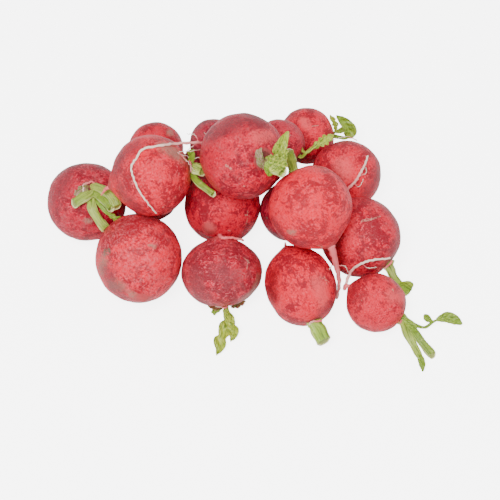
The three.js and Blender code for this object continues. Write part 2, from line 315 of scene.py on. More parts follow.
# Net: thin curving lines where a cloud passes through its middle value, let through in patches.
def filaments(scale, width, low, high, patch_scale):
    cloud = sums(skin_pattern, "SUBTRACT", clouds(skin_pattern, place, scale, 1.5, 0.6, 1.2), 0.5)
    lines = step(skin_pattern, sums(skin_pattern, "ABSOLUTE", cloud), width * 0.35, width, 1.0, 0.0)
    gate = step(skin_pattern, clouds(skin_pattern, place, patch_scale, 5, 0.75), low, high)
    return sums(skin_pattern, "MULTIPLY", lines, gate)


net = filaments(8.0, 0.022, 0.50, 0.56, 9.0)
for scale, width, patch_scale in [(14.0, 0.036, 12.0), (22.0, 0.055, 15.0)]:
    net = sums(skin_pattern, "MAXIMUM", net, filaments(scale, width, 0.51, 0.56, patch_scale))
rubbed = step(skin_pattern, middle, 0.42, 0.52)
mottle = sums(skin_pattern, "MULTIPLY", step(skin_pattern, fine, 0.54, 0.60), rubbed)
specks = step(skin_pattern, grain, 0.62, 0.66)
mottled = sums(skin_pattern, "MULTIPLY_ADD", rings, 0.2, mottle)
mottled = sums(skin_pattern, "MULTIPLY_ADD", specks, 0.6, mottled)
mottled = sums(skin_pattern, "MULTIPLY", mottled, given["Mottle"])
pale = sums(skin_pattern, "MULTIPLY_ADD", net, given["Net"], mottled, clamp=True)
skin_pattern.links.new(pale, result["Pale"])
dust = step(skin_pattern, clouds(skin_pattern, place, 2.6, 9, 0.78, 0.2), 0.46, 0.62)
dusty = sums(skin_pattern, "MULTIPLY", dust, step(skin_pattern, fine, 0.36, 0.58))
skin_pattern.links.new(sums(skin_pattern, "MULTIPLY", dusty, given["Dust"], clamp=True), result["Dusty"])
relief = sums(skin_pattern, "MULTIPLY_ADD", middle, 0.8, sums(skin_pattern, "MULTIPLY", fine, 0.8))
relief = sums(skin_pattern, "MULTIPLY_ADD", rings, -0.12, relief)
relief = sums(skin_pattern, "MULTIPLY_ADD", net, 0.1, relief)
skin_pattern.links.new(relief, result["Height"])
print("skin pattern:", len(skin_pattern.nodes), "nodes")

# %% [markdown]
# ## Marks: scars, bruises, dry soil, painted shade and painted highlights
# A scar or a bruise sits in one place on one radish. A mark is a soft stroke between two places on
# the bulb, with a ragged edge. A round mark is a stroke whose two ends are the same place.

# %% Mark group
mark_group, given, result = group(
    "skin_mark",
    [("Place", VECTOR), ("From", VECTOR), ("To", VECTOR), ("Width", FLOAT), ("Ragged", FLOAT)],
    [("Hard", FLOAT), ("Soft", FLOAT)],
)


def vectors(tree, operation, first, second=(0, 0, 0), output=0):
    return node(tree, "ShaderNodeVectorMath", {0: first, 1: second}, operation=operation).outputs[output]


def stretched(tree, vector, amount):
    return node(tree, "ShaderNodeVectorMath", {0: vector, "Scale": amount}, operation="SCALE").outputs[0]


ragged_edge = {"Vector": given["Place"], "Scale": 420.0, "Detail": 6.0, "Roughness": 0.7}
wobble = node(mark_group, "ShaderNodeTexNoise", ragged_edge).outputs["Color"]
wobble = vectors(mark_group, "SUBTRACT", wobble, (0.5, 0.5, 0.5))
scaled = stretched(mark_group, wobble, given["Ragged"])
loose = vectors(mark_group, "ADD", given["Place"], scaled)
reach = vectors(mark_group, "SUBTRACT", loose, given["From"])
run = vectors(mark_group, "SUBTRACT", given["To"], given["From"])
run = vectors(mark_group, "ADD", run, (1e-6, 0, 0))
along = sums(
    mark_group,
    "DIVIDE",
    vectors(mark_group, "DOT_PRODUCT", reach, run, "Value"),
    vectors(mark_group, "DOT_PRODUCT", run, run, "Value"),
    clamp=True,
)
nearest = stretched(mark_group, run, along)
distance = vectors(mark_group, "DISTANCE", reach, nearest, "Value")
core = sums(mark_group, "MULTIPLY", given["Width"], 0.35)
mask = step(mark_group, distance, core, given["Width"], 1.0, 0.0)
crumbs = clouds(mark_group, given["Place"], 1500.0, 3, 0.7)
broken = sums(mark_group, "MULTIPLY_ADD", crumbs, 2.6, mask)
mark_group.links.new(step(mark_group, broken, 2.0, 2.4), result["Hard"])
nearness = sums(mark_group, "SUBTRACT", 1.0, sums(mark_group, "DIVIDE", distance, given["Width"]), clamp=True)
faded = sums(mark_group, "MULTIPLY", nearness, step(mark_group, crumbs, 0.32, 0.62, 0.35, 1.9), clamp=True)
mark_group.links.new(faded, result["Soft"])

# %% [markdown]
# ## Each radish's own colours and marks
# Colours are linear. Every radish has a deep and a bright red, an amount of net, mottle and dust, and
# a list of marks. The deep reds differ only in how strong the red is, so that is all they give. A
# mark is (kind, from, to, width in millimetres), with both ends as directions.

# %% Colours of the marks
MARK_KINDS = {
    # kind: (colour, strength, raggedness in millimetres)
    "scar": ((0.66, 0.30, 0.24), 0.6, 1.2),
    "cork": ((0.72, 0.46, 0.33), 0.9, 1.6),
    "bruise": ((0.12, 0.12, 0.08), 0.9, 1.6),
    "soil": ((0.38, 0.19, 0.14), 0.8, 3.0),
    "bloom": ((0.23, 0.035, 0.045), 0.7, 6.0),
    # This kind is a painted highlight: a brighter red pool laid on the lit upper side of a bulb.
    "painted_highlight": ((0.88, 0.09, 0.10), 0.7, 4.0),
    # This kind is painted shade: a soft dark red stroke on a bulb's flank or underside.
    "shade": ((0.20, 0.004, 0.008), 0.8, 4.0),
    # This kind darkens a strip of skin to nearly black, low on a bulb beside its crown.
    "torn": ((0.09, 0.008, 0.010), 0.9, 1.6),
}
SOFT_KINDS = ("bloom", "painted_highlight", "shade", "soil")
RAISED_KINDS = ("scar", "cork")
DEEP_TINGE = (0.002, 0.015)  # green and blue of every deep red
LOOKS = {
    "front_left": {
        "deep": 0.36, "bright": (0.82, 0.005, 0.030), "net": 0.75, "mottle": 0.55, "dust": 0.25,
        "marks": [
            ("bruise", (-157, 49), (-160, 43), 3.0),
            ("soil", (-146, 20), (-150, 34), 3.6),
            ("cork", (-76, 5), (-84, 6), 2.2),
            ("soil", (-92, 7), (-96, 10), 2.6),
            ("scar", (-96, 14), (-72, 13), 0.6),
            ("scar", (-90, 8), (-98, 12), 0.6),
            ("bruise", (-92, 12), (-98, 14), 0.7),
            ("soil", (-112, 19), (-124, 12), 4.0),
            ("soil", (-30, 66), (-26, 62), 1.3),
            ("bloom", (-135, 25), (-120, 12), 6),
        ],
    },
    "front_middle": {
        "deep": 0.26, "bright": (0.64, 0.006, 0.032), "net": 0.3, "mottle": 0.8, "dust": 0.55,
        "marks": [
            ("scar", (-24, 46), (-6, 47), 0.8),
            ("scar", (-10, 44), (-2, 54), 0.7),
            ("soil", (-48, 0), (-20, 14), 3.6),
            ("soil", (-58, -14), (-30, -4), 2.6),
            ("bloom", (-90, 62), (-70, 50), 6),
            ("bloom", (-150, 40), (-120, 20), 5),
            # These two strokes darken the bulb's lower edge beside its crown to nearly black.
            ("torn", (-125, -30), (-108, -40), 1.2),
            ("torn", (-62, -38), (-44, -30), 1.4),
        ],
    },
    "front_right": {
        "deep": 0.34, "bright": (0.84, 0.006, 0.030), "net": 0.12, "mottle": 0.45, "dust": 0.12,
        "marks": [
            # The brighter red stroke here is a painted highlight.
            ("painted_highlight", (-40, 55), (-50, 25), 5),
            ("scar", (-20, 60), (-16, 40), 0.4),
            ("scar", (-12, 52), (-30, 34), 0.35),
            # The dark red stroke here is painted shade.
            ("shade", (-178, 40), (-150, 20), 5),
            ("bloom", (-60, 10), (-40, 10), 4),
        ],
    },
    "small_front": {
        "deep": 0.36, "bright": (0.80, 0.006, 0.032), "net": 0.2, "mottle": 0.5, "dust": 0.2,
        "marks": [
            # The brighter red stroke here is a painted highlight.
            ("painted_highlight", (-20, 60), (-10, 35), 4),
            ("cork", (0, 60), (4, 60), 0.6),
            ("scar", (-150, 50), (-149, 50), 0.45),
            ("scar", (-60, 45), (-59, 46), 0.6),
        ],
    },
    "far_left": {
        "deep": 0.26, "bright": (0.61, 0.006, 0.033), "net": 0.08, "mottle": 0.6, "dust": 0.5,
        "marks": [
            ("soil", (-78, 27), (-84, 30), 1.8),
            ("bloom", (172, 60), (-160, 40), 7),
            ("bloom", (110, 40), (140, 35), 6),
        ],
    },
    "centre": {
        "deep": 0.30, "bright": (0.74, 0.004, 0.030), "net": 0.06, "mottle": 0.3, "dust": 0.1,
        "marks": [
            ("scar", (-36, 34), (-48, 16), 0.7),
            ("scar", (-44, 30), (-38, 24), 0.6),
            ("scar", (-80, 16), (-76, 14), 0.6),
        ],
    },
    "right": {
        "deep": 0.30, "bright": (0.74, 0.005, 0.030), "net": 0.18, "mottle": 0.5, "dust": 0.3,
        "marks": [
            ("bloom", (37, 38), (0, 24), 6),
            ("bloom", (-40, 18), (-20, 20), 5),
            ("scar", (-114, 82), (-24, 79), 1.0),
            ("scar", (-24, 79), (7, 66), 0.9),
            # The dark red stroke here is painted shade.
            ("shade", (-148, 40), (-130, 15), 6),
        ],
    },
    # This bulb lies under others; its darker reds are painted shade, on top of the shade the lamps cast.
    "under_right": {
        "deep": 0.18, "bright": (0.47, 0.003, 0.027), "net": 0.1, "mottle": 0.35, "dust": 0.2,
        "marks": [("bruise", (-148, 21), (-147, 22), 0.8)],
    },
    "right_back": {
        "deep": 0.36, "bright": (0.82, 0.007, 0.033), "net": 0.15, "mottle": 0.5, "dust": 0.25,
        # The brighter red stroke here is a painted highlight.
        "marks": [("bloom", (-48, 18), (-10, 20), 6), ("painted_highlight", (-123, 70), (-100, 60), 5)],
    },
    "back_right": {
        "deep": 0.36, "bright": (0.82, 0.006, 0.032), "net": 0.12, "mottle": 0.5, "dust": 0.15,
        # The brighter red stroke here is a painted highlight.
        "marks": [("painted_highlight", (-175, 81), (-100, 76), 3), ("scar", (-26, 66), (-60, 72), 0.5)],
    },
    "back_left": {
        "deep": 0.34, "bright": (0.74, 0.004, 0.030), "net": 0.05, "mottle": 0.3, "dust": 0.3,
        "marks": [("soil", (11, 57), (20, 50), 2.2)],
    },
    # These four bulbs lie low in the heap, under others; their darker reds are painted shade, on top of the
    # shade the lamps cast.
    "under_left": {
        "deep": 0.20, "bright": (0.50, 0.004, 0.028), "net": 0.1, "mottle": 0.4, "dust": 0.4,
        "marks": [],
    },
    "under_back": {
        "deep": 0.18, "bright": (0.47, 0.004, 0.029), "net": 0.1, "mottle": 0.4, "dust": 0.4,
        "marks": [],
    },
    "under_middle": {
        "deep": 0.22, "bright": (0.55, 0.004, 0.029), "net": 0.1, "mottle": 0.4, "dust": 0.4,
        "marks": [],
    },
    "small_back": {
        "deep": 0.18, "bright": (0.47, 0.006, 0.033), "net": 0.1, "mottle": 0.5, "dust": 0.75,
        # The dark red stroke here is painted shade.
        "marks": [("shade", (-100, -10), (-60, -10), 5)],
    },
    "small_top": {
        "deep": 0.26, "bright": (0.64, 0.006, 0.033), "net": 0.25, "mottle": 0.6, "dust": 0.4,
        "marks": [("scar", (-27, 64), (-60, 60), 0.5)],
    },
    "top_left": {
        "deep": 0.37, "bright": (0.84, 0.007, 0.032), "net": 0.18, "mottle": 0.55, "dust": 0.35,
        "marks": [
            ("soil", (30, 62), (10, 40), 5),
            ("bloom", (150, 60), (-170, 30), 6),
            ("bloom", (-136, 20), (-110, -5), 5),
            ("scar", (-72, 4), (-50, 12), 0.8),
            ("scar", (-40, 18), (-24, 40), 0.4),
        ],
    },
    "top_right": {
        "deep": 0.42, "bright": (0.90, 0.006, 0.030), "net": 0.3, "mottle": 0.5, "dust": 0.1,
        "marks": [
            ("soil", (-122, 12), (-116, 16), 1.8),
            ("scar", (-80, -8), (-40, -6), 1.4),
            ("cork", (-74, -14), (-48, -12), 1.6),
            ("bloom", (-150, 5), (-100, -8), 4),
        ],
    },
    "top_middle": {
        "deep": 0.26, "bright": (0.68, 0.004, 0.029), "net": 0.12, "mottle": 0.45, "dust": 0.45,
        "marks": [
            ("bloom", (128, 67), (60, 60), 8),
            ("bloom", (170, 50), (150, 70), 6),
            ("scar", (-118, 38), (-110, 37), 1.1),
            # The brighter red stroke here is a painted highlight.
            ("painted_highlight", (5, 51), (-20, 70), 4),
            ("scar", (-90, 10), (-88, 12), 0.7),
        ],
    },
}
PALE_SKIN = (0.96, 0.25, 0.28, 1)
DUST = (0.27, 0.085, 0.085, 1)
# Colour of the painted rim sheen at each bulb's edge, partly its dust.
RIM_SHEEN_AND_DUST = (0.30, 0.05, 0.06, 1)
CROWN_RING = (0.36, 0.06, 0.06, 1)
CROWN_MIDDLE = (0.16, 0.035, 0.03, 1)
TAIL_SKIN = (0.50, 0.06, 0.065, 1)


# %% Skin material
def skin(name, look, seed):
    """The finish of one radish: its own reds and marks over the shared skin pattern."""
    made, tree, shader = material(f"skin_{name}")
    grown = node(tree, "ShaderNodeAttribute", attribute_name="grown").outputs["Vector"]
    own = node(tree, "ShaderNodeMapping", {"Vector": grown, "Location": (seed * 3.1, seed * 1.7, seed * 2.3)})
    pattern = use(
        tree,
        skin_pattern,
        {"Place": own.outputs[0], "Net": look["net"], "Mottle": look["mottle"], "Dust": look["dust"]},
    )
    colour = tint(tree, pattern["Bright"], (look["deep"], *DEEP_TINGE, 1), (*look["bright"], 1))
    colour = tint(tree, sums(tree, "MULTIPLY", pattern["Pale"], 0.52), colour, PALE_SKIN)
    colour = tint(tree, pattern["Dusty"], colour, DUST)
    rough = sums(tree, "MULTIPLY_ADD", pattern["Dusty"], 0.3, 0.33)
    height = pattern["Height"]
    here = node(tree, "ShaderNodeTexCoord").outputs["Object"]
    for kind, start, end, width in look["marks"]:
        shade, strength, ragged = MARK_KINDS[kind]
        ends = [bulbs[name].place(*direction) * MM for direction in (start, end)]
        mark = use(
            tree,
            mark_group,
            {"Place": here, "From": ends[0], "To": ends[1], "Width": width * MM, "Ragged": ragged * MM},
        )["Soft" if kind in SOFT_KINDS else "Hard"]
        colour = tint(tree, sums(tree, "MULTIPLY", mark, strength), colour, (*shade, 1))
        if kind in RAISED_KINDS:
            height = sums(tree, "MULTIPLY_ADD", mark, 0.35, height)
            rough = sums(tree, "MULTIPLY_ADD", mark, 0.3, rough, clamp=True)
    up = node(tree, "ShaderNodeSeparateXYZ", {0: grown}).outputs["Z"]
    uneven = sums(tree, "MULTIPLY_ADD", pattern["Height"], 0.03, up)
    colour = tint(tree, step(tree, uneven, 0.982, 0.996), colour, CROWN_RING)
    colour = tint(tree, step(tree, uneven, 1.0, 1.008), colour, CROWN_MIDDLE)
    down = sums(tree, "MULTIPLY_ADD", pattern["Height"], 0.03, sums(tree, "MULTIPLY", up, -1.0))
    colour = tint(tree, step(tree, down, 0.99, 1.02), colour, TAIL_SKIN)
    # Painted sheen, partly the bulb's dust: where the skin turns away from the camera, its colour is pulled
    # toward a dull dusty red, more on dustier bulbs.
    facing = node(tree, "ShaderNodeLayerWeight", {"Blend": 0.22}).outputs["Facing"]
    colour = tint(tree, sums(tree, "MULTIPLY", facing, 0.04 + 0.35 * look["dust"]), colour, RIM_SHEEN_AND_DUST)
    tree.links.new(colour, shader.inputs["Base Color"])
    tree.links.new(rough, shader.inputs["Roughness"])
    bump = node(tree, "ShaderNodeBump", {"Height": height, "Strength": 0.65, "Distance": 0.6 * MM})
    tree.links.new(bump.outputs[0], shader.inputs["Normal"])
    shader.inputs["Subsurface Weight"].default_value = 0.08
    shader.inputs["Subsurface Radius"].default_value = (0.004, 0.0012, 0.001)
    shader.inputs["Specular IOR Level"].default_value = 0.16
    return made


# %% [markdown]
# ## The bulb
# Every bulb is the same kind of body: nearly round, a little hollow at the leaf crown with a low
# collar round it, and drawn out to a root below. It is modelled once from a sphere of radius one, by
# pulling single rings with soft proportional falloff as one would by hand. Each radish is then a
# copy of that mesh, stretched to its size, turned to its crown and made lumpy in its own way.


# %% Modelling helpers
def deselect():
    if bpy.context.object and bpy.context.object.mode != "OBJECT":
        bpy.ops.object.mode_set(mode="OBJECT")
    bpy.ops.object.select_all(action="DESELECT")


def activate(piece):
    deselect()
    piece.select_set(True)
    bpy.context.view_layer.objects.active = piece


def pick(piece, wanted):
    """Leaves edit mode's selection at the vertices for which wanted(place) is true."""
    activate(piece)
    bpy.ops.object.mode_set(mode="EDIT")
    bpy.ops.mesh.select_mode(type="VERT")
    bpy.ops.mesh.select_all(action="DESELECT")
    bpy.ops.object.mode_set(mode="OBJECT")
    for vertex in piece.data.vertices:
        vertex.select = wanted(vertex.co)
    bpy.ops.object.mode_set(mode="EDIT")


def apply_all(piece):
    activate(piece)
    for modifier in list(piece.modifiers):
        bpy.ops.object.modifier_apply(modifier=modifier.name)


def lumps(piece, name, size, depth):
    """Pushes the surface in and out by soft clouds, size and depth in millimetres."""
    texture = bpy.data.textures.new(name, "CLOUDS")
    texture.noise_scale = size * MM
    texture.noise_depth = 2
    displace = piece.modifiers.new(name, "DISPLACE")
    displace.texture = texture
    displace.texture_coords = "LOCAL"
    displace.mid_level = 0.5
    displace.strength = depth * MM


REST_GAP = 0.05  # millimetres left under a piece that lies on the table


def hand_in(piece, node_name):
    """Rests a finished piece on the table, smooths it and lets it stand for its node."""
    for vertex in piece.data.vertices:
        vertex.co.z = max(vertex.co.z, REST_GAP * MM)
    activate(piece)
    bpy.ops.object.shade_smooth()
    piece.name = f"{node_name}_grown"
    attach(piece, "root")
    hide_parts(node_name)


# %% The pattern bulb
deselect()
bpy.ops.mesh.primitive_uv_sphere_add(segments=96, ring_count=72, radius=1)
pattern_bulb = bpy.context.object
grown = pattern_bulb.data.attributes.new("grown", "FLOAT_VECTOR", "POINT")
grown.data.foreach_set("vector", [value for vertex in pattern_bulb.data.vertices for value in vertex.co])


def pull(where, amount, falloff, size):
    pick(pattern_bulb, where)
    bpy.ops.transform.translate(
        value=(0, 0, amount),
        use_proportional_edit=True,
        proportional_edit_falloff=falloff,
        proportional_size=size,
    )


pull(lambda place: place.z > 0.996, -0.05, "SMOOTH", 0.42)
pull(lambda place: 0.90 < place.z and 0.16 < math.hypot(place.x, place.y) < 0.20, 0.018, "SMOOTH", 0.08)
pull(lambda place: place.z < -0.997, -0.10, "SHARP", 0.5)
bpy.ops.object.mode_set(mode="OBJECT")
print("pattern bulb:", len(pattern_bulb.data.vertices), "vertices,",
      "from", round(min(v.co.z for v in pattern_bulb.data.vertices), 2),
      "to", round(max(v.co.z for v in pattern_bulb.data.vertices), 2))


# %% The nineteen radishes
def radish(bulb, seed):
    piece = pattern_bulb.copy()
    piece.data = pattern_bulb.data.copy()
    bpy.context.collection.objects.link(piece)
    size = Matrix.Diagonal((bulb.half_wide * MM, bulb.half_wide * MM, bulb.half_long * MM, 1))
    turn = bulb.axis.to_track_quat("Z", "Y").to_matrix().to_4x4()
    piece.data.transform(Matrix.Translation(bulb.centre * MM) @ turn @ size)
    lumps(piece, "broad_lumps", 16, 1.1)
    lumps(piece, "small_lumps", 4, 0.22)
    apply_all(piece)
    piece.data.materials.append(skin(bulb.name, LOOKS[bulb.name], seed))
    return piece


bodies = {name: radish(bulb, seed) for seed, (name, bulb) in enumerate(bulbs.items(), start=1)}
bpy.data.objects.remove(pattern_bulb)
print(len(bodies), "radishes")

# %% [markdown]
# ## Roots
# The root goes on from the bulb's lower end: pink where it leaves the bulb, nearly white further
# out, and thinner all the way. It is a curve with a round section and its own radius at each point,
# turned into a mesh. It grew in one piece with its bulb, so it is joined to it.

# %% Root material
root_skin, tree, shader = material("root_skin")
along = node(tree, "ShaderNodeAttribute", attribute_name="along").outputs["Fac"]
here = node(tree, "ShaderNodeTexCoord").outputs["Object"]
blotch = clouds(tree, here, 380.0, 4, 0.6)
mixed = sums(tree, "MULTIPLY_ADD", blotch, 0.35, sums(tree, "SUBTRACT", along, 0.17))
colour = tint(tree, step(tree, mixed, 0.14, 0.55), (0.80, 0.13, 0.15, 1), (0.92, 0.74, 0.62, 1))
streak = step(tree, clouds(tree, here, 1500.0, 3, 0.6), 0.58, 0.7)
colour = tint(tree, sums(tree, "MULTIPLY", streak, 0.4), colour, (0.45, 0.30, 0.20, 1))
tree.links.new(colour, shader.inputs["Base Color"])
shader.inputs["Roughness"].default_value = 0.55
shader.inputs["Subsurface Weight"].default_value = 0.1
shader.inputs["Subsurface Radius"].default_value = (0.002, 0.001, 0.0008)
bump = node(tree, "ShaderNodeBump", {"Height": blotch, "Strength": 0.4, "Distance": 0.2 * MM})
tree.links.new(bump.outputs[0], shader.inputs["Normal"])


# %% Root maker
def smooth_path(points, count):
    """Catmull-Rom points through the given places, evenly counted, in the same units."""
    padded = [points[0] * 2 - points[1], *points, points[-1] * 2 - points[-2]]
    spans = len(points) - 1
    path = []
    for index in range(count + 1):
        span = min(int(index * spans / count), spans - 1)
        t = index * spans / count - span
        before, start, end, after = padded[span : span + 4]
        path.append(
            0.5
            * (
                2 * start
                + (end - before) * t
                + (2 * before - 5 * start + 4 * end - after) * t**2
                + (3 * start - before - 3 * end + after) * t**3
            )
        )
    return path


def strand(points, thick_start, thick_end, pale_share=1.0, wander=0.25, count=None):
    """A tapering round strand through points, all in millimetres, as a mesh with an along value."""
    count = count or 6 * (len(points) - 1) + 8
    path = smooth_path(points, count)
    curve = bpy.data.curves.new("strand", "CURVE")
    curve.dimensions = "3D"
    curve.bevel_depth = 1
    curve.bevel_resolution = 2
    curve.use_fill_caps = True
    spline = curve.splines.new("POLY")
    spline.points.add(count)
    for index, place in enumerate(path):
        share = index / count
        sway = Vector((math.sin(index * 1.9), math.cos(index * 2.3), math.sin(index * 1.3 + 1))) * wander
        spline.points[index].co = (*((place + sway * min(share * 4, 1)) * MM), 1)
        thick = thick_start + (thick_end - thick_start) * share**0.7
        thick *= 1 + 0.12 * math.sin(index * 1.7)
        spline.points[index].radius = thick / 2 * MM
    piece = bpy.data.objects.new("strand", curve)
    bpy.context.collection.objects.link(piece)
    activate(piece)
    bpy.ops.object.convert(target="MESH")
    piece = bpy.context.object
    tree_of_points = kdtree.KDTree(len(path))
    for index, place in enumerate(path):
        tree_of_points.insert(place * MM, index)
    tree_of_points.balance()
    value = piece.data.attributes.new("along", "FLOAT", "POINT")
    shares = [pale_share * tree_of_points.find(vertex.co)[1] / count for vertex in piece.data.vertices]
    value.data.foreach_set("value", shares)
    piece.data.materials.append(root_skin)
    return piece


def join(body, extras):
    activate(body)
    for extra in extras:
        extra.select_set(True)
    bpy.ops.object.join()


# %% [markdown]
# ### Where the long roots run
# A root's way is a list of places. A place on a neighbour is (its name, bearing, rise, lift), and a
# place in the open is a plain (x, y, z) of the plan. These are the same ways as in the frame.

# %% Long roots
OVER = 0.8  # how high a root's middle lies over a neighbour's skin
# bulb: (thickness at its start and at its end, how pale it gets, its way)
ROOTS = {
    "top_middle": (
        1.6, 0.55, 1.0,
        [(-17, 24.5, 42), (-21.5, 21.5, 47.5), ("top_left", 38, 40, OVER), ("top_left", 35, 65, OVER),
         ("top_left", 150, 82, OVER), ("top_left", -150, 72, OVER), ("top_left", -140, 60, OVER),
         ("top_left", -122, 50, OVER), ("top_left", -105, 35, OVER), ("top_left", -93, 20, OVER),
         ("top_left", -82, -5, OVER)],
    ),
    "top_right": (4.6, 1.0, 0.3, [(33.5, -20, 26), (35.6, -23, 15), (35.4, -25, 4)]),
    "right": (
        2.0, 0.8, 0.5,
        [(35, 10.5, 22), ("right_back", -90, 36, OVER), ("right_back", -75, 46, OVER),
         ("right_back", -58, 55, OVER), ("right_back", -32, 60, OVER), ("right_back", 5, 58, OVER)],
    ),
    "small_front": (
        1.8, 0.8, 0.7,
        [(37.8, -25.2, 13), ("right", -106, 2, OVER), ("right", -95, 20, OVER), ("right", -78, 26, OVER),
         ("right", -50, 16, OVER)],
    ),
    "front_middle": (
        2.0, 0.9, 0.2,
        [("front_middle", 86, 54, 1.0), ("front_middle", 66, 46, 1.0), ("front_middle", 48, 32, 1.0)],
    ),
}


def spot(place):
    if isinstance(place[0], str):
        name, bearing, rise, lift = place
        return bulbs[name].place(bearing, rise, lift)
    return Vector(place) + shift


roots = {name: [] for name in bulbs}
for name, (thick_start, thick_end, pale_share, way) in ROOTS.items():
    bulb = bulbs[name]
    start = bulb.centre - bulb.axis * bulb.half_long * 0.9
    tip = bulb.centre - bulb.axis * (bulb.half_long + 1.2)
    roots[name].append(strand([start, tip, *map(spot, way)], thick_start, thick_end, pale_share, 0.12))

# %% Short root tips
TRIMMED = ("front_left", "centre")  # radishes whose root was cut off short
SAG = Vector((0.04, -0.03, -0.05))
for name, bulb in bulbs.items():
    if name not in ROOTS and name not in TRIMMED:
        reaches = (-1.5, 0.6, 1 + bulb.tail * 0.6, 2 + bulb.tail * 1.1)
        way = [bulb.centre - bulb.axis * (bulb.half_long + out) + SAG * out * out for out in reaches]
        roots[name].append(strand(way, 1.2 + 0.6 * bulb.tail, 0.5, 0.15, 0.15))

# Fine rootlets: (bulb they belong to, places), a third of a millimetre thick.
ROOTLETS = [
    ("top_middle", [(-17.6, 24, 43), (-20, 20.5, 44), ("top_left", 12, 48, 1.2), ("top_left", 14, 26, 1.4)]),
    ("top_middle", [("top_left", 12, 48, 1.2), ("top_left", 4, 30, 1.0), ("top_left", 2, 8, 1.4)]),
    ("top_middle", [(-16, 25, 41.6), (-14.6, 21, 41), (-17.6, 18.6, 43), (-21.5, 17, 43)]),
    ("top_middle", [(-20, 22.8, 45.6), (-23.6, 19.6, 46.6), (-26, 16.6, 46)]),
    ("top_middle", [(-14, 26.5, 40.6), (-15.8, 28.6, 42), (-18.4, 29, 43.6)]),
    ("top_middle", [(-20.4, 22.4, 46.8), (-22, 25, 48), (-25, 26, 47)]),
    ("right", [("right_back", -62, 52, 0.8), ("right_back", -44, 50, 0.8), ("right_back", -34, 56, 0.9)]),
    ("right", [("right_back", -80, 44, 0.8), ("right_back", -70, 36, 0.9), ("right_back", -56, 44, 0.8)]),
    ("back_right", [(46, 47, 13), (42, 46, 17), (37, 41, 23), (33, 36, 28)]),
    ("top_right", [(33.6, -20.2, 25.6), (31.4, -21.6, 22), (31.8, -22.6, 18)]),
    ("top_right", [(34.4, -21, 24), (37.4, -20.6, 23), (39, -21.8, 20)]),
    ("small_front", [("right", -92, 21, 0.8), ("right", -84, 14, 1.0), ("right", -72, 12, 1.0)]),
]
for name, way in ROOTLETS:
    roots[name].append(strand([spot(place) for place in way], 0.42, 0.22, 1.0, 0.2))

# %% [markdown]
# ### Dry collars
# Where the leaves were pulled off, a torn ring of dry skin stays round the crown. It is a thin
# strand along part of a circle, given as (bulb, from, to) in degrees around the crown.

# %% Collars
COLLAR_STEPS = 8
COLLARS = [
    ("front_right", 150, 395), ("far_left", 20, 200), ("top_left", 40, 210), ("small_front", 100, 330),
    ("right", 60, 250), ("front_middle", 10, 160), ("front_middle", 190, 330), ("top_middle", 160, 350),
]
for name, start, end in COLLARS:
    bulb = bulbs[name]
    side = bulb.axis.orthogonal().normalized()
    other = bulb.axis.cross(side)
    ring = []
    for index in range(COLLAR_STEPS + 1):
        turn = math.radians(start + (end - start) * index / COLLAR_STEPS)
        out = (0.19 + 0.02 * math.sin(index * 2.1)) * bulb.half_wide
        around = side * math.cos(turn) + other * math.sin(turn)
        above = 0.25 * math.sin(index * 1.3) - 0.1
        ring.append(bulb.crown() + around * out + bulb.axis * above)
    roots[name].append(strand(ring, 0.9, 0.5, 0.75, 0.18))

# %% Join the strands to their bulbs
for name, extras in roots.items():
    if extras:
        join(bodies[name], extras)
for name, body in bodies.items():
    hand_in(body, f"radish_{name}")
print("long roots on", [name for name, extras in roots.items() if extras])

# %% [markdown]
# ## Leaf stalks
# A radish stalk is thick and juicy: round below, with a shallow channel above and fine ribs along
# it. It is a curve with that section as its bevel object. Cutting it leaves a wet pale face, or a
# hollow tube in the older ones, which is the end face inset and pushed back.

# %% Stalk material
def stalk_finish(name, base, tip, cut):
    made, tree, shader = material(name)
    grown = node(tree, "ShaderNodeAttribute", attribute_name="grown").outputs["Vector"]
    parts = node(tree, "ShaderNodeSeparateXYZ", {0: grown}).outputs
    ribbed = node(tree, "ShaderNodeMapping", {"Vector": grown, "Scale": (5.0, 5.0, 0.35)}).outputs[0]
    ribs = clouds(tree, ribbed, 2.0, 4, 0.6)
    blotches = clouds(tree, grown, 1.6, 5, 0.6)
    colour = tint(tree, step(tree, parts["Z"], 0.0, 2.4), base, tip)
    colour = tint(tree, step(tree, ribs, 0.42, 0.66), colour, (0.10, 0.18, 0.008, 1))
    blotched = sums(tree, "MULTIPLY", step(tree, blotches, 0.5, 0.7), 0.5)
    colour = tint(tree, blotched, colour, (0.54, 0.58, 0.16, 1))
    edge = step(tree, sums(tree, "ABSOLUTE", parts["X"]), 0.38, 0.47)
    colour = tint(tree, sums(tree, "MULTIPLY", edge, 0.45), colour, cut)
    along = node(tree, "ShaderNodeAttribute", attribute_name="along").outputs["Fac"]
    colour = tint(tree, step(tree, along, 0.97, 1.0), colour, cut)
    tree.links.new(colour, shader.inputs["Base Color"])
    tree.links.new(step(tree, ribs, 0.3, 0.7, 0.38, 0.6), shader.inputs["Roughness"])
    bump = node(tree, "ShaderNodeBump", {"Height": ribs, "Strength": 0.6, "Distance": 0.35 * MM})
    tree.links.new(bump.outputs[0], shader.inputs["Normal"])
    shader.inputs["Subsurface Weight"].default_value = 0.15
    shader.inputs["Subsurface Radius"].default_value = (0.002, 0.002, 0.0008)
    return made


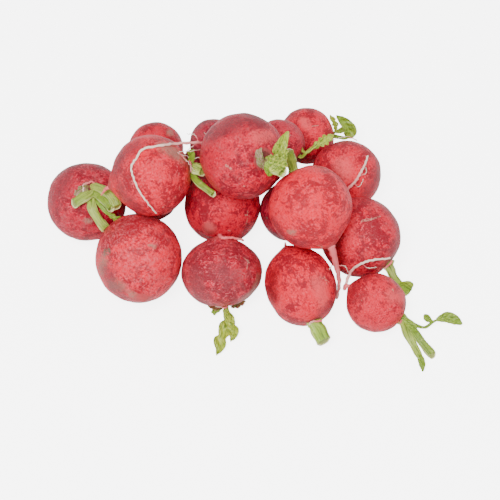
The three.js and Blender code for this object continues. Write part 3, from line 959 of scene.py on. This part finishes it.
PALE = (0.46, 0.53, 0.10, 1)
GREEN = (0.24, 0.36, 0.02, 1)
OLIVE = (0.16, 0.22, 0.02, 1)
YELLOW = (0.44, 0.48, 0.05, 1)
CUT = (0.66, 0.66, 0.30, 1)
stalk_green = stalk_finish("stalk_green", PALE, GREEN, CUT)
stalk_pale = stalk_finish("stalk_pale", PALE, (0.36, 0.46, 0.05, 1), CUT)
stalk_bright = stalk_finish("stalk_bright", (0.34, 0.48, 0.04, 1), (0.22, 0.38, 0.01, 1), CUT)
leaf_green = stalk_finish("leaf_green", (0.32, 0.44, 0.04, 1), (0.20, 0.32, 0.015, 1), OLIVE)
leaf_yellow = stalk_finish("leaf_yellow", (0.46, 0.52, 0.07, 1), (0.38, 0.46, 0.03, 1), YELLOW)
cut_inside = stalk_finish("cut_inside", (0.34, 0.40, 0.08, 1), (0.24, 0.28, 0.05, 1), (0.30, 0.34, 0.08, 1))
dry_red = stalk_finish("dry_red", (0.16, 0.012, 0.018, 1), (0.30, 0.05, 0.05, 1), (0.42, 0.16, 0.13, 1))
dry_scale = stalk_finish("dry_scale", (0.30, 0.13, 0.10, 1), (0.42, 0.26, 0.18, 1), (0.40, 0.26, 0.2, 1))


# %% Stalk section and sweep
def section_curve(name, wide, thick, channel):
    """A closed outline: a rounded lower side with low ribs, and a channel of the given depth above."""
    curve = bpy.data.curves.new(name, "CURVE")
    curve.dimensions = "2D"
    spline = curve.splines.new("POLY")
    count = 20
    spline.points.add(count - 1)
    for index in range(count):
        angle = 2 * math.pi * index / count
        out = 1 + 0.05 * math.cos(6 * angle)
        x = 0.5 * wide * math.cos(angle) * out
        y = 0.5 * thick * math.sin(angle) * out
        if y > 0:
            y -= channel * thick * (1 - (2 * x / wide) ** 2)
        spline.points[index].co = (x * MM, y * MM, 0, 1)
    spline.use_cyclic_u = True
    outline = bpy.data.objects.new(name, curve)
    bpy.context.collection.objects.link(outline)
    return outline


def sweep(path, wide, thick, finish, channel=0.25, ends=(0.8, 1.0), slant=0.0, swell=0.08):
    """A stalk along path in millimetres. ends are its relative widths at the base and at the cut."""
    count = 5 * (len(path) - 1) + 4
    line = smooth_path(path, count)
    outline = section_curve("section", wide, thick, channel)
    curve = bpy.data.curves.new("stalk", "CURVE")
    curve.dimensions = "3D"
    curve.twist_mode = "Z_UP"
    curve.bevel_mode = "OBJECT"
    curve.bevel_object = outline
    spline = curve.splines.new("POLY")
    spline.points.add(count)
    for index, place in enumerate(line):
        share = index / count
        spline.points[index].co = (*(place * MM), 1)
        girth = ends[0] + (ends[1] - ends[0]) * share
        spline.points[index].radius = girth * (1 + swell * math.sin(3.1 * share * len(path)))
    piece = bpy.data.objects.new("stalk", curve)
    bpy.context.collection.objects.link(piece)
    activate(piece)
    bpy.ops.object.convert(target="MESH")
    piece = bpy.context.object
    bpy.data.objects.remove(outline)
    bpy.ops.object.mode_set(mode="EDIT")
    bpy.ops.mesh.select_all(action="SELECT")
    bpy.ops.mesh.remove_doubles(threshold=0.00001)
    bpy.ops.mesh.fill_holes(sides=0)
    bpy.ops.mesh.normals_make_consistent(inside=False)
    bpy.ops.object.mode_set(mode="OBJECT")
    ahead = (line[-1] - line[-2]).normalized()
    for vertex in piece.data.vertices:
        offset = vertex.co - line[-1] * MM
        if abs(offset.dot(ahead)) < 0.1 * MM and offset.length < wide * MM:
            vertex.co += ahead * (offset - ahead * offset.dot(ahead)).z * slant
    piece.data.materials.append(finish)
    piece.data.materials.append(cut_inside)
    return piece, line


def measure(piece, line, wide):
    """Stores where each point sits on its stalk: across, up and along it, in widths, as grown."""
    nearest = kdtree.KDTree(len(line))
    for index, place in enumerate(line):
        nearest.insert(place * MM, index)
    nearest.balance()
    piece.data.attributes.new("grown", "FLOAT_VECTOR", "POINT")
    piece.data.attributes.new("along", "FLOAT", "POINT")
    grown, along = piece.data.attributes["grown"], piece.data.attributes["along"]
    last = len(line) - 1
    for vertex in piece.data.vertices:
        index = nearest.find(vertex.co)[1]
        ahead = (line[min(index + 1, last)] - line[max(index - 1, 0)]).normalized()
        side = ahead.cross(Vector((0, 0, 1)))
        side = side.normalized() if side.length > 0.01 else Vector((1, 0, 0))
        offset = vertex.co / MM - line[index]
        far = index * (line[-1] - line[0]).length / last + offset.dot(ahead)
        up = side.cross(ahead)
        grown.data[vertex.index].vector = (offset.dot(side) / wide, offset.dot(up) / wide, far / wide)
        share = min(max(far / max((line[-1] - line[0]).length, 0.1), 0), 1)
        along.data[vertex.index].value = share


def end_face(piece, line):
    """Selects the cut face at the far end of a stalk."""
    activate(piece)
    bpy.ops.object.mode_set(mode="EDIT")
    bpy.ops.mesh.select_mode(type="FACE")
    bpy.ops.mesh.select_all(action="DESELECT")
    bpy.ops.object.mode_set(mode="OBJECT")
    big = [face for face in piece.data.polygons if len(face.vertices) > 8]
    cap = min(big, key=lambda face: (face.center - line[-1] * MM).length)
    cap.select = True
    bpy.ops.object.mode_set(mode="EDIT")


def cut_end(piece, line, hollow, wall=0.5):
    """Trims the far end: a rim, then a shallow dip, or a deep hollow as in an old stalk."""
    end_face(piece, line)
    ahead = (line[-1] - line[-2]).normalized()
    bpy.ops.mesh.inset(thickness=wall * MM, depth=0)
    piece.active_material_index = 1
    bpy.ops.object.material_slot_assign()
    bpy.ops.mesh.extrude_region_move(TRANSFORM_OT_translate={"value": ahead * (-hollow * MM)})
    bpy.ops.mesh.inset(thickness=0.15 * MM, depth=0)
    bpy.ops.object.mode_set(mode="OBJECT")


def finish_green(piece, line, wide, rough=0.25):
    """Rounds a stalk or leaf, makes it uneven, stores where its points sit along it and keeps it above the
    table.
    """
    rounding = piece.modifiers.new("rounding", "SUBSURF")
    rounding.levels = 1
    rounding.render_levels = 1
    lumps(piece, "stalk_lumps", 1.6, rough)
    apply_all(piece)
    measure(piece, line, wide)
    for vertex in piece.data.vertices:
        vertex.co.z = max(vertex.co.z, 0)


# %% [markdown]
# ### Blades
# A young leaf is a thin blade with a toothed edge, folded along its midrib and crinkled. It starts
# as a flat grid. Each row is drawn in to the leaf's outline, the two halves are raised like a
# shallow V, and the whole leaf is curled and waved. Solidify gives it its thickness.


# %% Blade maker
TOWARDS = Vector((0, -0.5, 0.87))


def blade(points, wide, finish, teeth=0, fold=0.35, wave=0.4, widest=0.55):
    """A leaf blade that follows points, in millimetres. widest is where it is broadest, from 0 to 1."""
    rows, columns = 40, 12
    line = smooth_path(points, rows)
    deselect()
    bpy.ops.mesh.primitive_grid_add(x_subdivisions=columns, y_subdivisions=rows, size=2)
    piece = bpy.context.object
    power = math.log(0.5) / math.log(widest)
    for vertex in piece.data.vertices:
        share = (vertex.co.y + 1) / 2
        out = vertex.co.x
        index = round(share * rows)
        ahead = (line[min(index + 1, rows)] - line[max(index - 1, 0)]).normalized()
        side = ahead.cross(TOWARDS).normalized()
        face = side.cross(ahead)
        half = 0.5 * wide * max(math.sin(math.pi * share**power), 0.0) ** 0.65
        half = max(half, 0.18 * wide * (1 - share))
        if teeth:
            notch = abs(math.sin(math.pi * teeth * share + 0.6 * (out > 0)))
            half *= 1 - 0.55 * (1 - notch) * abs(out)
        ripple = wave * (math.sin(share * 15 + out * 2.2) * abs(out) + 0.5 * math.sin(share * 31 + out * 5))
        height = fold * abs(out) * half + ripple
        vertex.co = (line[index] + side * (out * half) + face * height) * MM
    thickness = piece.modifiers.new("thickness", "SOLIDIFY")
    thickness.thickness = 0.35 * MM
    thickness.offset = 0
    apply_all(piece)
    piece.data.materials.append(finish)
    return piece


# %% [markdown]
# ## The greens, crown by crown
# A path is a list of offsets from the middle of its bulb's crown, in millimetres, and matches the
# frame's plan. size is width and thickness. end says how the stalk stops: cut, hollow or torn.

# %% Greens of the plan
GREENS = [
    ("stalk_far_left_stub", "far_left", (4.8, 3.6), stalk_green, "cut",
     [(0, -2, 0), (-2.5, -4.5, 1), (-6, -7, 0.5)]),
    ("stalk_far_left_thick", "far_left", (4.2, 3.4), stalk_pale, "cut",
     [(2, 1, 0.5), (6.5, -2.5, 2.5), (9.5, -5.5, 2), (11, -8.5, 0)]),
    ("stalk_far_left_hollow", "far_left", (3.4, 3.0), stalk_green, "hollow",
     [(2.5, -2.5, 0), (6, -6, 1), (9, -9.5, 0.5)]),
    ("stalk_far_left_flat", "far_left", (3.9, 2.4), stalk_pale, "cut",
     [(0.5, -4, -1), (1, -8, -1.5), (3.5, -12, -3.5), (6.5, -15, -6)]),
    ("leaf_far_left", "far_left", (2.0, 1.6), stalk_bright, "torn",
     [(3, -5, -1.5), (6, -8.5, -2.5), (9.5, -10.5, -5), (12, -10.5, -7)]),
    ("scale_far_left", "far_left", (3.6, 0.9), dry_scale, "torn",
     [(-1.5, 0.5, 0.5), (-3.5, -1, 0.5), (-6, -2.5, 0)]),
    ("stalk_top_left_stub", "top_left", (5.4, 3.8), stalk_pale, "cut",
     [(0.5, -0.5, 0), (2.5, -1.5, 0), (5, -2.5, 0)]),
    ("stalk_top_left_hollow", "top_left", (2.9, 2.6), stalk_green, "hollow",
     [(0.5, -3, -1.5), (4, -8, -1), (9.5, -12.5, -1.5)]),
    ("leaf_top_left", "top_left", (2.9, 1.2), leaf_green, "torn",
     [(0.5, 1.5, 1.5), (1, 2, 3), (1.5, 3, 5)]),
    ("leaf_top_middle_blade", "top_middle", (2.4, 1.6), leaf_green, "torn",
     [(2, 0, 0.5), (4.5, 0.5, 2), (5.5, 1.5, 3.5)]),
    ("leaf_top_middle_small", "top_middle", (3.0, 1.8), leaf_yellow, "torn",
     [(1, -1, -0.2), (3, -2.5, 0.8), (5, -3.6, 1.4)]),
    ("stalk_top_middle_stub", "top_middle", (5.0, 3.4), stalk_pale, "hollow",
     [(2, -2.5, -1), (4.5, -5, 0.5), (6.5, -6.5, 1)]),
    ("stalk_top_middle_side", "top_middle", (4.0, 2.8), stalk_green, "torn",
     [(2.5, -1, 0.5), (5.5, -2, 2), (8, -2, 3.5)]),
    ("scale_top_middle", "top_middle", (4.0, 0.9), dry_scale, "torn",
     [(-0.5, -1, 0.5), (-2, -0.5, 1.5), (-3.5, 0.5, 2.5)]),
    ("stalk_top_right", "top_right", (4.4, 3.8), stalk_green, "cut",
     [(1, 0.5, 0.5), (0, 2.5, 4), (-1, 4.5, 7)]),
    ("leaf_small_top", "small_top", (1.7, 1.4), leaf_yellow, "torn",
     [(0.5, -0.5, 0.5), (2.5, 0.5, 2.5), (4, 1.6, 3.2)]),
    ("leaf_back_right_slender", "back_right", (1.6, 0.9), leaf_yellow, "torn",
     [(0.8, 0.5, 0.5), (1.2, 1.5, 2), (0.8, 2.4, 3.4)]),
    ("leaf_back_right_wide", "back_right", (2.3, 1.5), leaf_green, "torn",
     [(1, -1, -0.5), (5, -1.8, -0.6), (7.2, -1.4, -0.3)]),
    ("leaf_front_middle_bud", "front_middle", (2.8, 2.0), leaf_green, "torn",
     [(-1.5, 0, -1), (-3, -1.5, -2), (-4.5, -1.5, -2.5)]),
    ("stalk_front_middle", "front_middle", (2.4, 1.6), leaf_yellow, "torn",
     [(1, -1, -0.5), (1.4, -5, -2), (0.6, -9, -2.4), (-0.6, -13, -2.5)]),
    ("stalk_front_right", "front_right", (6.6, 4.6), stalk_bright, "cut",
     [(0.2, -0.5, 0), (1.6, -2.8, -1.4), (3.6, -6.2, -3.2)]),
    ("stalk_right", "right", (5.4, 2.6), stalk_pale, "torn",
     [(-0.6, -0.8, -0.6), (0.6, -1.8, -3.4), (2.4, -3.2, -6.8), (5.2, -5.2, -9.6)]),
    ("stalk_small_front_thick", "small_front", (5.0, 3.8), stalk_pale, "torn",
     [(0.8, -1.2, -0.8), (2.6, -5, -4), (4.8, -9.5, -5.6), (7, -14.5, -6.1)]),
    ("stalk_small_front_round", "small_front", (3.7, 3.1), stalk_green, "cut",
     [(1.8, -1, -1.2), (5.4, -4.4, -4.4), (8.6, -8.6, -5.8), (12, -13.4, -6.2)]),
    ("leaf_small_front", "small_front", (1.8, 1.5), leaf_green, "torn",
     [(1, 0, 0.5), (5, -2.4, -1), (9.5, -2.4, -3.5), (13, 0.5, -4.5), (16, 2, -5)]),
]
# Blades of each stalk: (offsets of its middle line, width, teeth, fold, wave, widest, finish)
BLADES = {
    "leaf_far_left": [
        ([(7, -9, -3), (10, -10.6, -5), (13, -10.5, -7.4)],
         3.6, 2, 0.4, 0.3, 0.6, stalk_bright),
    ],
    "leaf_top_middle_blade": [
        ([(4, 0.4, 1.4), (6, 2.6, 5.4), (8.6, 6, 10)],
         4.8, 0, 0.5, 0.5, 0.4, leaf_yellow),
    ],
    "leaf_top_middle_small": [
        ([(1, -1, 0.4), (4.2, -3.2, 2), (8.4, -4.6, 2.6)], 7.6, 3, 0.35, 0.9, 0.5, leaf_yellow),
        ([(2.6, -1.2, 1), (2, -4, 0.6), (1.4, -7, -1)], 5, 0, 0.5, 0.6, 0.5, leaf_green),
        ([(4, -2, 2), (6, -1.4, 4), (8.6, 0, 6)], 5, 2, 0.3, 0.7, 0.55, leaf_yellow),
    ],
    "leaf_top_left": [([(0.6, 1.4, 1), (0.4, 3, 3), (1.4, 4.6, 5)], 3.4, 2, 0.4, 0.5, 0.6, leaf_green)],
    "leaf_small_top": [
        ([(2.6, 0.6, 2.4), (7, 3, 4.4), (10, 4.4, 5.6), (13.4, 6, 6.6)],
         4.8, 5, 0.3, 0.5, 0.62, leaf_yellow),
        ([(2, 0.4, 1.6), (0.4, 1.6, 3), (-1, 2.4, 4.4)], 1.8, 2, 0.3, 0.2, 0.6, leaf_yellow),
    ],
    "leaf_back_right_wide": [
        ([(6.4, -1.4, -0.8), (7, 0, 2.4), (4.6, 1.8, 5.6), (1, 3.6, 8.4)],
         5.8, 0, 0.55, 0.4, 0.38, leaf_green)
    ],
    "leaf_back_right_slender": [
        ([(1.2, 1, 1.2), (0.6, 2.6, 4), (-1.6, 4.6, 7.4)], 3, 3, 0.4, 0.3, 0.5, leaf_yellow),
        ([(1.4, 0.6, 0), (4, 1, 1.6), (7, 1.4, 3.6)], 2.6, 0, 0.4, 0.3, 0.5, leaf_green),
    ],
    "stalk_front_middle": [
        ([(0.6, -1.5, -0.6), (1.4, -7, -1.8), (-0.8, -14, -2), (-2.4, -21, -2.4)],
         6.6, 3, 0.5, 0.9, 0.6, leaf_yellow),
        ([(1.4, -1.2, -0.8), (2.8, -6, -1.6), (3.8, -10.6, -2), (3.2, -14.8, -2.5)],
         5.4, 2, 0.5, 0.9, 0.6, leaf_yellow),
    ],
    "stalk_right": [
        ([(4, -4.4, -8.2), (6.4, -5.6, -9.4), (8.8, -6.6, -11)],
         6.4, 0, 0.9, 0.3, 0.55, stalk_bright),
    ],
    "stalk_small_front_thick": [
        ([(6.4, -13, -5.6), (7.4, -17, -5.8), (7.6, -20.6, -6)], 2.8, 0, 0.6, 0.3, 0.45, leaf_green),
        ([(1, -0.6, 0.6), (3.4, -3, -0.6), (6, -4.8, -3)], 3.6, 0, 0.5, 0.3, 0.5, leaf_green),
    ],
    "leaf_small_front": [
        ([(14.6, 1.4, -4.6), (18.6, 2.6, -4.4), (22, 1.6, -4.8), (25, 0, -5.6)],
         4.6, 0, 0.35, 0.4, 0.45, leaf_green),
        ([(13, 0.5, -4.4), (11, 1.4, -3.6), (9.4, 3, -3)], 2.8, 0, 0.4, 0.3, 0.6, leaf_green),
    ],
    "scale_top_middle": [
        ([(-0.6, -4, -0.6), (-2, -1.8, 1), (-2.4, 1, 2.4), (-1.4, 3, 3.4)],
         3.4, 2, 0.3, 0.5, 0.5, dry_scale)
    ],
    "scale_far_left": [
        ([(-1.5, 1.6, 0.6), (-4, -0.6, 0.4), (-6.4, -2.6, -0.2)],
         3.4, 3, 0.3, 0.5, 0.5, dry_scale),
    ],
    "leaf_front_middle_bud": [
        ([(-1, -0.4, -0.6), (-3, -1.6, -1.8), (-5, -1.8, -2.6)], 3.2, 2, 0.5, 0.4, 0.6, leaf_green),
        ([(0, -0.8, -0.3), (-3, -1, -0.3), (-6.4, -0.2, 0.4)], 2.6, 3, 0.5, 0.4, 0.5, dry_red),
        ([(3, -0.8, 0), (6, -0.2, 0.6), (9, 1, 1.8)], 2.6, 3, 0.5, 0.4, 0.5, dry_red),
    ],
}


# %% Grow the greens
def grow(name, of, size, finish, end, offsets):
    crown = bulbs[of].crown()
    path = [crown - bulbs[of].axis * 1.6 + Vector(offsets[0]) * 0.4]
    path += [crown + Vector(offset) for offset in offsets]
    if end == "torn":
        piece, line = sweep(path, *size, finish, channel=0.3, ends=(1.1, 0.5))
    else:
        piece, line = sweep(path, *size, finish, channel=0.2, ends=(0.9, 1.0), slant=-0.8)
        cut_end(piece, line, 2.0 if end == "hollow" else 0.35, 0.14 * size[0])
    finish_green(piece, line, size[0])
    extras = []
    for offsets, wide, teeth, fold, wave, widest, blade_finish in BLADES.get(name, []):
        points = [crown + Vector(offset) for offset in offsets]
        leaf = blade(points, wide, blade_finish, teeth, fold, wave, widest)
        finish_green(leaf, smooth_path(points, 12), wide, 0.3)
        extras.append(leaf)
    if extras:
        join(piece, extras)
    hand_in(piece, name)
    return piece


greens = [grow(*row) for row in GREENS]
print(len(greens), "stalks, leaves and scales")
